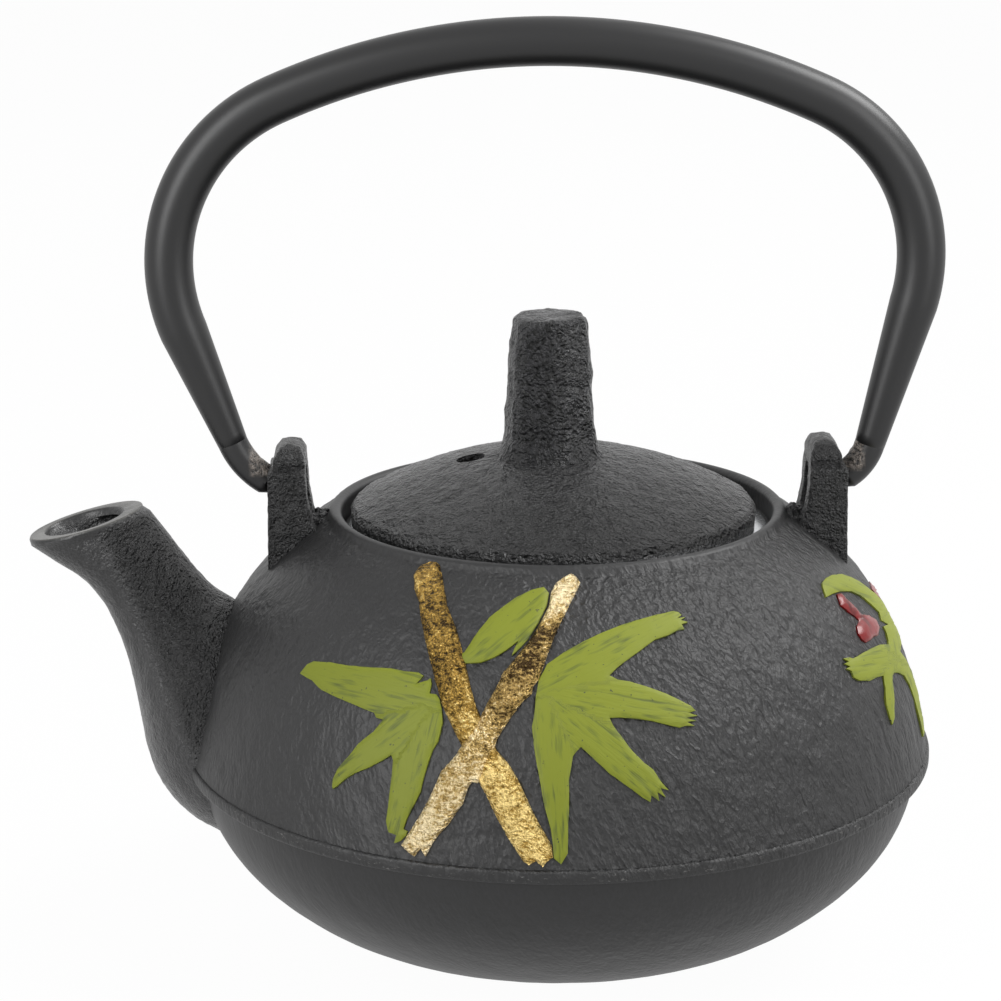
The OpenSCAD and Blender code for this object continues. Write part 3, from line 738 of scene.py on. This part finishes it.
def hook_bar(name, half, side, shift):
    """A bar bent from the end of a leg round to the slot, and its pin."""
    heading = half[0] + half[2]
    x, z = leg_end(half, half[3])
    x += shift
    face = EAR_X + HOOK_GAP
    dx, dz = x - face, z - PIVOT_Z
    turn = 2 * (180 - math.degrees(math.atan2(dz, dx)) - heading)
    r = math.hypot(dx, dz) / (2 * math.sin(math.radians(turn / 2)))
    h = math.radians(heading)
    forward, up = (math.cos(h), -math.sin(h)), (math.sin(h), math.cos(h))
    centre = (x - r * up[0], z - r * up[1])
    loops = [ring_about(x - 2 * forward[0], z - 2 * forward[1], heading, TIP_D / 2 - 0.35, 40),
             ring_about(x - 0.1 * forward[0], z - 0.1 * forward[1], heading, TIP_D / 2 - 0.02, 40)]
    steps = 16
    for i in range(1, steps + 1):
        f = math.radians(turn * i / steps)
        px = centre[0] + r * (math.sin(f) * forward[0] + math.cos(f) * up[0])
        pz = centre[1] + r * (math.sin(f) * forward[1] + math.cos(f) * up[1])
        loops.append(ring_about(px, pz, heading + turn * i / steps, TIP_D / 2 - 0.02, 40))
    loops.append(ring_about(face - 0.15, PIVOT_Z, 180, TIP_D / 2 - 0.3, 40))
    loops.append(ring_about(face - 0.3, PIVOT_Z, 180, PIN_D / 2, 40))
    long = PIN_X + 0.4 - face + 0.3
    for i in range(1, 10):
        loops.append(ring_about(face - 0.3 + long * i / 9, PIVOT_Z, 180, PIN_D / 2, 40))
    loops.append(ring_about(PIN_X, PIVOT_Z, 180, PIN_D / 2 - 0.4, 40))
    piece = lofted(name, [[(side * a, b, c) for a, b, c in loop] for loop in loops])
    pinched = lambda p: 1.0 if face + 0.2 < abs(p.x) < face + 2.4 and p.z > PIVOT_Z + 0.6 else 0.0
    roughen(piece, 1.1, 0.35, pinched)
    return smooth(piece, 50)


# ---------------------------------------------------------------- the infuser

INFUSER_R, RIM_T, BASKET_R, BASKET_Z, MESH_T = 33.4, 0.6, 30, 25, 0.5
WIRE = 0.3                                  # thickness of the wire; the real one is about 0.15
WEAVE = 1.1                                 # spacing of the wires; the real 0.4 is too fine to show


def infuser_rim():
    """The flat rim that rests on the ledge, and the collar under it."""
    top = LEDGE_Z + RIM_T
    inner = BASKET_R - MESH_T - 0.1
    piece = turned("infuser_rim_pressed", [
        (INFUSER_R - 0.25, LEDGE_Z), (INFUSER_R, LEDGE_Z + 0.15), (INFUSER_R, top - 0.15),
        (INFUSER_R - 0.25, top), (inner + 1.4, top), (inner + 0.5, top - 0.08), (inner, top - 0.3),
        (inner, LEDGE_Z),
        (BASKET_R + 0.05, LEDGE_Z - 0.1), (BASKET_R + 0.05, LEDGE_Z - 5), (BASKET_R + 0.55, LEDGE_Z - 5),
        (BASKET_R + 0.55, LEDGE_Z - 0.3), (BASKET_R + 0.85, LEDGE_Z), (INFUSER_R - 0.25, LEDGE_Z)], 200)
    return smooth(piece, 35)


def infuser_wall():
    """The basket's wall: a turned sheet whose edges become the wires."""
    low, high = BASKET_Z + RIM_T, LEDGE_Z - 0.3
    rows = round((high - low) / WEAVE)
    middle = BASKET_R - MESH_T / 2
    around = round(math.tau * middle / WEAVE)
    profile = [(middle, low + (high - low) * i / rows) for i in range(rows + 1)]
    return wires(turned("infuser_wall_woven", profile, around))


def infuser_floor():
    """The basket's floor: a grid cut round, whose edges become the wires."""
    rest()
    across = round(2 * BASKET_R / WEAVE)
    bpy.ops.mesh.primitive_grid_add(x_subdivisions=across, y_subdivisions=across, size=2 * BASKET_R * MM,
                                    location=(0, 0, (BASKET_Z + RIM_T + MESH_T / 2) * MM))
    piece = place_in_mesh(bpy.context.object, "infuser_floor_woven")
    mesh = edit(piece)
    for vert in mesh.verts:
        vert.select_set(vert.co.xy.length > (BASKET_R - 0.9) * MM)
    bmesh.update_edit_mesh(piece.data)
    bpy.ops.mesh.delete(type="VERT")
    return wires(piece)


def wires(piece):
    """Turns the edges of a sheet into its wires."""
    tool = piece.modifiers.new("wires", "WIREFRAME")
    tool.thickness = WIRE * MM
    tool.use_even_offset = False
    tool.use_boundary = True
    apply(piece, tool)
    close_up(piece)
    return smooth(piece, 80)


def infuser_hem():
    """The folded band that holds the floor to the wall."""
    piece = turned("infuser_hem_folded", [
        (BASKET_R - 2, BASKET_Z), (BASKET_R + 0.2, BASKET_Z), (BASKET_R + 0.45, BASKET_Z + 0.25),
        (BASKET_R + 0.45, BASKET_Z + 3), (BASKET_R + 0.05, BASKET_Z + 3), (BASKET_R + 0.05, BASKET_Z + RIM_T),
        (BASKET_R - 2, BASKET_Z + RIM_T), (BASKET_R - 2, BASKET_Z)], 200)
    return smooth(piece, 35)


# ---------------------------------------------------------------- the painted relief

# The camera: its place in metres, its turn, its tilt down and its roll in degrees
EYE = Vector((-0.0165, -0.4715, 0.1987))
YAW, TILT, ROLL = map(math.radians, (0.91, 15.114, 0.334))
LENS, SENSOR = 110.2, 36
ahead = Vector((math.sin(YAW) * math.cos(TILT), math.cos(YAW) * math.cos(TILT), -math.sin(TILT)))
level = Vector((math.cos(YAW), -math.sin(YAW), 0))
right = Matrix.Rotation(ROLL, 3, ahead) @ level
up = right.cross(ahead)
PIXELS = LENS / SENSOR * IMAGE              # pixels of the view to one unit of slope
PX_MM = 5.4                                 # pixels of the view to a millimetre on the pot's front
CUT_PX = 3.6                                # width of the relief's small faces, in pixels of the view
WALL_TOP_Z = 41.9                           # where the wall over the rib gives way to the shoulder
NEAR, FAR, STEP = 0.40, 0.50, 0.003         # how far from the camera the wall is sought, in metres


def wall_gap(p):
    """How far a point is outside the smooth wall over the rib, and which way is out."""
    r, z = math.hypot(p.x, p.y) / MM, p.z / MM
    centre, big = (WALL, WALL_R) if z < WALL_TOP_Z else (SHOULDER, SHOULDER_R)
    dr, dz = r - centre[0], z - centre[1]
    long = math.hypot(dr, dz)
    out = Vector((p.x / MM / r * dr / long, p.y / MM / r * dr / long, dz / long))
    return long - big, out


def on_wall(px, py):
    """The point of the wall that is seen at a pixel, and the way out of the wall there."""
    middle = IMAGE / 2
    for _ in range(60):
        look = ahead + right * ((px - middle) / PIXELS) - up * ((py - middle) / PIXELS)
        t = NEAR
        while t < FAR and wall_gap(EYE + look * t)[0] > 0:
            t += STEP
        if t < FAR:
            near, far = t - STEP, t
            for _ in range(18):
                t = (near + far) / 2
                if wall_gap(EYE + look * t)[0] > 0:
                    near = t
                else:
                    far = t
            p = EYE + look * far
            return p, wall_gap(p)[1]
        px -= math.copysign(0.5, px - middle)
    raise ValueError("no wall at that pixel")


def off_segment(x, y, a, b):
    """Distance from a point to a segment, how far along it the foot is, and on which side."""
    dx, dy = b[0] - a[0], b[1] - a[1]
    long = math.hypot(dx, dy)
    t = max(0.0, min(1.0, ((x - a[0]) * dx + (y - a[1]) * dy) / long ** 2))
    across = ((x - a[0]) * dy - (y - a[1]) * dx) / long
    return math.hypot(x - a[0] - t * dx, y - a[1] - t * dy), t * long, across


def painted(name, outline, strokes, height, crown, width, rings):
    """A raised piece of relief: its outline is drawn flat, filled, cut into small faces, given a
    thickness and laid on the wall.  `strokes` are the lines along which its paint was brushed,
    `crown` its swell over `width` pixels from its edge, and `rings` the bands raised across it."""
    rest()
    bpy.ops.mesh.primitive_circle_add(vertices=len(outline), radius=1, fill_type="NGON")
    piece = place_in_mesh(bpy.context.object, name)
    mesh = edit(piece, "SELECT")
    mesh.verts.ensure_lookup_table()
    for vert, (px, py) in zip(mesh.verts, outline):
        vert.co = (px * MM, py * MM, 0)
    bmesh.update_edit_mesh(piece.data)
    bpy.ops.mesh.quads_convert_to_tris(ngon_method="BEAUTY")
    for axis in (0, 1):
        at = min(p[axis] for p in outline) + CUT_PX / 2
        while at < max(p[axis] for p in outline):
            bpy.ops.mesh.select_all(action="SELECT")
            bpy.ops.mesh.bisect(plane_co=[at * MM * (i == axis) for i in range(3)],
                                plane_no=[float(i == axis) for i in range(3)], threshold=1e-7)
            at += CUT_PX
    bpy.ops.mesh.select_all(action="SELECT")
    bpy.ops.mesh.remove_doubles(threshold=0.4 * MM)
    bpy.ops.mesh.select_all(action="SELECT")
    bpy.ops.mesh.extrude_region_move()
    mesh = bmesh.from_edit_mesh(piece.data)
    sides = list(zip(outline, outline[1:] + outline[:1]))
    uv = mesh.loops.layers.uv.get("UVMap") or mesh.loops.layers.uv.new("UVMap")
    drawn = {vert: (vert.co.x / MM, vert.co.y / MM) for vert in mesh.verts}
    for vert, (px, py) in drawn.items():
        point, out = on_wall(px, py)
        lift = -0.5
        if vert.select:
            edge = min(off_segment(px, py, a, b)[0] for a, b in sides)
            lift = height * (0.6 + 0.4 * min(1, edge / 2.5))
            t = 1 - min(1, edge / width)
            lift += crown * math.sqrt(max(0, 1 - t * t))
            for a, b, rise in rings:
                lift += rise * math.exp(-(off_segment(px, py, a, b)[0] / 2.6) ** 2)
        vert.co = point + out * lift * MM
    for face in mesh.faces:
        for loop in face.loops:
            px, py = drawn[loop.vert]
            found = [off_segment(px, py, a, b) + (i,) for i, (a, b) in enumerate(strokes)]
            _, along, across, i = min(found)
            loop[uv].uv = (along / PX_MM * MM + 0.05 * i, across / PX_MM * MM)
    bmesh.update_edit_mesh(piece.data)
    rest()
    piece.data.uv_layers[0].name = "strokes"
    edit(piece, "SELECT")
    bpy.ops.mesh.normals_make_consistent(inside=False)
    rest()
    roughen(piece, 1.6, 0.12, lambda p: 1.0)
    return smooth(piece, 45)


# Outlines of the relief, as pixels of the view, clockwise
STALK_BACK = [
    (421, 566), (432, 562), (440, 564), (442, 574), (444, 588), (447, 605), (454, 623), (460, 642),
    (466, 665), (470, 684), (476, 706), (484, 727), (497, 751), (508, 763), (516, 776), (524, 792),
    (531, 808), (539, 823), (547, 837), (552, 846), (553, 857), (546, 863), (543, 867), (536, 861),
    (529, 865), (524, 862), (516, 850), (508, 838), (500, 823), (492, 808), (486, 794), (481, 786),
    (470, 762), (459, 740), (449, 720), (442, 704), (434, 675), (429, 655), (425, 638), (422, 622),
    (419, 602), (415, 590), (414, 575)]
STALK_FRONT = [
    (565, 578), (571, 575), (576, 578), (580, 584), (577, 591), (572, 600), (564, 617), (557, 631),
    (552, 643), (545, 662), (539, 680), (533, 687), (532, 694), (524, 700), (517, 709), (506, 725),
    (497, 739), (494, 750), (484, 775), (478, 783), (472, 782), (468, 788), (463, 804), (454, 816),
    (449, 824), (439, 834), (433, 843), (426, 856), (421, 848), (415, 856), (409, 852), (402, 845),
    (415, 824), (426, 806), (435, 787), (442, 771), (456, 756), (464, 743), (477, 725), (489, 701),
    (496, 689), (504, 673), (517, 657), (529, 642), (540, 625), (549, 607), (551, 594), (556, 584)]
LEAF_ALONE = [
    (544, 588), (549, 594), (547, 606), (538, 624), (528, 640), (521, 648), (512, 656), (515, 649),
    (521, 635), (519, 641), (506, 651), (494, 658), (481, 663), (465, 664), (459, 656), (465, 653),
    (472, 642), (480, 630), (490, 618), (504, 607), (517, 598), (531, 591)]
LEAVES_RIGHT = [
    (547, 665), (564, 653), (584, 642), (603, 633), (621, 626), (637, 621), (655, 616), (673, 612),
    (678, 613), (681, 616), (677, 619), (685, 618), (680, 621), (687, 623), (681, 625), (684, 630),
    (677, 631), (670, 635), (655, 640), (644, 648), (629, 659), (617, 668), (609, 676), (617, 680),
    (629, 682), (646, 687), (666, 694), (682, 702), (690, 706), (695, 711), (688, 713), (697, 716),
    (686, 718), (696, 721), (686, 722), (694, 726), (685, 726), (679, 728), (667, 725), (652, 721),
    (637, 719), (621, 718), (609, 718), (613, 726), (621, 737), (633, 752), (644, 763), (653, 770),
    (661, 782), (668, 790), (660, 788), (665, 797), (657, 792), (659, 801), (651, 795), (650, 802),
    (643, 798), (627, 786), (610, 774), (595, 760), (581, 747), (577, 751), (573, 756), (569, 780),
    (569, 807), (568, 834), (568, 853), (561, 864), (554, 858), (553, 845), (551, 829), (544, 804),
    (539, 775), (535, 754), (532, 727), (534, 716), (536, 696), (539, 681)]
LEAVES_LEFT = [
    (301, 674), (308, 665), (315, 662), (331, 663), (349, 666), (371, 668), (392, 669), (405, 672),
    (419, 673), (424, 676), (421, 680), (417, 684), (428, 681), (431, 679), (432, 684), (430, 694),
    (437, 695), (440, 699), (442, 709), (443, 723), (441, 732), (438, 742), (433, 751), (429, 762),
    (424, 778), (421, 792), (415, 804), (408, 817), (404, 829), (408, 831), (407, 835), (401, 841),
    (395, 843), (397, 835), (392, 833), (389, 832), (387, 820), (389, 806), (391, 788), (393, 772),
    (394, 760), (392, 755), (384, 760), (371, 767), (356, 773), (346, 779), (338, 786), (334, 789),
    (333, 786), (334, 779), (339, 768), (350, 756), (361, 742), (374, 732), (384, 720), (377, 718),
    (375, 713), (364, 709), (350, 703), (336, 697), (322, 690), (313, 681), (306, 677)]
SPRAY = [
    (825, 598), (822, 589), (821, 584), (825, 579), (831, 576), (841, 575), (850, 578), (858, 582),
    (867, 589), (875, 595), (884, 605), (888, 613), (894, 624), (898, 635), (900, 644), (899, 652),
    (904, 659), (910, 671), (915, 684), (919, 698), (921, 715), (923, 732), (922, 737), (920, 727),
    (917, 714), (913, 699), (908, 685), (903, 676), (897, 673), (893, 673), (891, 676), (892, 688),
    (893, 703), (893, 718), (891, 725), (889, 719), (885, 705), (884, 691), (882, 676), (875, 678),
    (869, 681), (859, 681), (853, 678), (850, 671), (845, 669), (849, 667), (843, 664), (848, 662),
    (842, 659), (848, 658), (852, 659), (861, 654), (870, 649), (879, 645), (887, 645), (887, 641),
    (885, 633), (882, 627), (887, 625), (880, 621), (878, 613), (870, 605), (859, 596), (850, 592),
    (840, 592), (833, 594)]
BUD = [
    (836, 595), (840, 594), (847, 601), (854, 608), (860, 615), (868, 616), (875, 621), (878, 628),
    (877, 636), (872, 638), (869, 641), (865, 643), (861, 640), (857, 634), (856, 627), (858, 621),
    (854, 617), (847, 612), (840, 606)]
BUD_EDGE = [
    (869, 582), (873, 585), (877, 592), (882, 601), (877, 597), (871, 590)]


# ---------------------------------------------------------------- the teapot

rough_iron = pot_iron()
fine_iron = spout_iron()
ear_iron = cast_iron("lacquered_cast_iron_fine_skin", "#161616", "#313132", 1.2,
                     (0, 0, 0), 1.1, 0.34, 0.5)[0]
lid_iron = lid_skin()
tube_lacquer = lacquered_tube()
hook_lacquer = forged_hook()
pressed_steel = stainless("pressed_stainless_steel", 0.22)
wire_steel = stainless("woven_stainless_wire", 0.34)
old_gold = gold_paint("bronze_powder_paint_old_gold", "#2f220e", "#a8863e", "#f8dc92", 90)
pale_gold = gold_paint("bronze_powder_paint_champagne", "#3a2a12", "#b89a5c", "#fbe8bc", 64)
leaf_green = brushed_paint("brushed_enamel_leaf_green", "#808920", "#525d1e", 0.62)
bud_red = brushed_paint("brushed_enamel_bud_red", "#7c0808", "#400404", 0.3)

give(pot_shell(), rough_iron, "pot", ("pot_body", "lip", "ledge"))
give(spout_casting(), fine_iron, "pot", ("spout",))
give(ear_casting("ear_left_casting", -1), ear_iron, "pot", ("ear_left",))
give(ear_casting("ear_right_casting", 1), ear_iron, "pot", ("ear_right",))
give(casting_flash("casting_flash_left", -38.4, 0, 68.0, -34), ear_iron, "pot", ())
give(casting_flash("casting_flash_right", 38.4, 0, 68.0, 34), ear_iron, "pot", ())
give(lid_casting(), lid_iron, "lid", ("lid",))
give(bail_tube(), tube_lacquer, "bail", ("bail_tube",))
for name, path, side, node in (("hook_left_forged", LEFT, -1, "bail_hook_left"),
                               ("hook_right_forged", RIGHT, 1, "bail_hook_right")):
    give(hook_bar(name, path, side, side * CREST_X), hook_lacquer, "bail", (node,))
give(infuser_rim(), pressed_steel, "infuser", ("infuser_rim",))
give(infuser_hem(), pressed_steel, "infuser", ("infuser_hem",))
give(infuser_wall(), wire_steel, "infuser", ("infuser_mesh_wall",))
give(infuser_floor(), wire_steel, "infuser", ("infuser_mesh_floor",))

for name, outline, strokes, height, crown, width, rings, paint in (
        ("leaves_left", LEAVES_LEFT, [((432, 700), (305, 672)), ((425, 715), (335, 787)),
                                      ((428, 720), (398, 838))], 0.5, 0.0, 8, (), leaf_green),
        ("leaves_right", LEAVES_RIGHT, [((545, 690), (683, 618)), ((550, 695), (693, 718)),
                                        ((552, 705), (662, 795)), ((550, 700), (561, 860))],
         0.5, 0.0, 8, (), leaf_green),
        ("stalk_back", STALK_BACK, [((428, 566), (541, 862))], 0.3, 0.45, 13,
         [((455, 672), (468, 660), 0.25)], old_gold),
        ("leaf_alone", LEAF_ALONE, [((548, 590), (466, 658))], 0.45, 0.1, 8, (), leaf_green),
        ("stalk_front", STALK_FRONT, [((572, 577), (412, 850))], 0.55, 0.6, 14,
         [((503, 673), (537, 689), 0.4), ((497, 694), (518, 708), 0.35)], pale_gold),
        ("spray", SPRAY, [((826, 588), (886, 612)), ((886, 612), (898, 660)), ((895, 662), (848, 670)),
                          ((890, 662), (891, 722)), ((895, 660), (922, 735))], 0.45, 0.0, 8, (), leaf_green),
        ("bud", BUD, [((838, 596), (867, 640))], 0.4, 0.4, 10, (), bud_red),
        ("bud_behind", BUD_EDGE, [((870, 583), (881, 600))], 0.4, 0.1, 6, (), bud_red)):
    give(painted(name, outline, strokes, height, crown, width, rings), paint, "pot", ())


# ---------------------------------------------------------------- floor, light and camera

def sees_room(tree):
    """1 for the rays by which the white room is seen: straight, in a gloss or through glass."""
    seen = add(tree, "LightPath").outputs
    glossy = add(tree, "Math", {0: seen["Is Camera Ray"], 1: seen["Is Glossy Ray"]}, operation="MAXIMUM")
    return add(tree, "Math", {0: glossy, 1: seen["Is Transmission Ray"]}, operation="MAXIMUM")


def stage_floor():
    """A plain white floor that keeps the object's shadow and runs out to white."""
    rest()
    bpy.ops.mesh.primitive_plane_add(size=8)
    floor = place_in_mesh(bpy.context.object, "floor")
    material, tree, shader, _ = finish_of("matt_white_paper", Roughness=0.9)
    seen = sees_room(tree)
    paper = add(tree, "Mix", {0: seen}, data_type="RGBA", in_6=colour("#848484"), in_7=colour("#f4f4f4"))
    feed(shader, "Base Color", paper.outputs[2])
    white = add(tree, "Emission", color=(1, 1, 1, 1), strength=1.0)
    share = add(tree, "Math", {0: seen}, operation="MULTIPLY", in_1=0.97)
    mix = add(tree, "MixShader", {0: share, 1: shader, 2: white})
    feed(tree.nodes["Material Output"], "Surface", mix)
    floor.data.materials.append(material)


def lamp(name, place, wide, high, power):
    """A soft box that faces the middle of the pot."""
    rest()
    bpy.ops.object.light_add(type="AREA", location=place)
    light = bpy.context.object
    light.name = name
    light.data.shape = "RECTANGLE"
    light.data.size = wide
    light.data.size_y = high
    light.data.energy = power
    light.visible_camera = False
    light.rotation_euler = (Vector((0, 0, 0.07)) - Vector(place)).to_track_quat("-Z", "Y").to_euler()


stage_floor()
lamp("soft_box_left", (-0.36, -0.36, 0.27), 0.22, 0.50, 1.95)
lamp("soft_box_right", (0.38, -0.36, 0.27), 0.22, 0.50, 1.25)
lamp("soft_box_over", (0.66, 0.14, 0.84), 0.55, 0.55, 9.2)
lamp("soft_box_behind", (0.0, 0.75, 0.40), 1.40, 0.70, 0.5)

world = bpy.data.worlds.new("white_room")
world.use_nodes = True
bpy.context.scene.world = world
tree = world.node_tree
way = add(tree, "TexCoord").outputs["Generated"]
behind = add(tree, "MapRange", {"Value": add(tree, "SeparateXYZ", {"Vector": way}).outputs["Y"]},
             from_min=0.45, from_max=0.85, to_min=0.05, to_max=1.0)
background = tree.nodes["Background"]
background.inputs["Color"].default_value = (1, 1, 1, 1)
feed(background, "Strength", add(tree, "Math", {0: sees_room(tree), 1: behind}, operation="MAXIMUM"))

rest()
bpy.ops.object.camera_add(location=EYE)
camera = bpy.context.object
camera.name = "camera"
camera.data.lens = LENS
camera.data.sensor_width = SENSOR
camera.data.clip_start = 0.01
camera.rotation_euler = Matrix((right, up, -ahead)).transposed().to_euler()
bpy.context.scene.camera = camera
bpy.context.scene.view_settings.view_transform = "Standard"
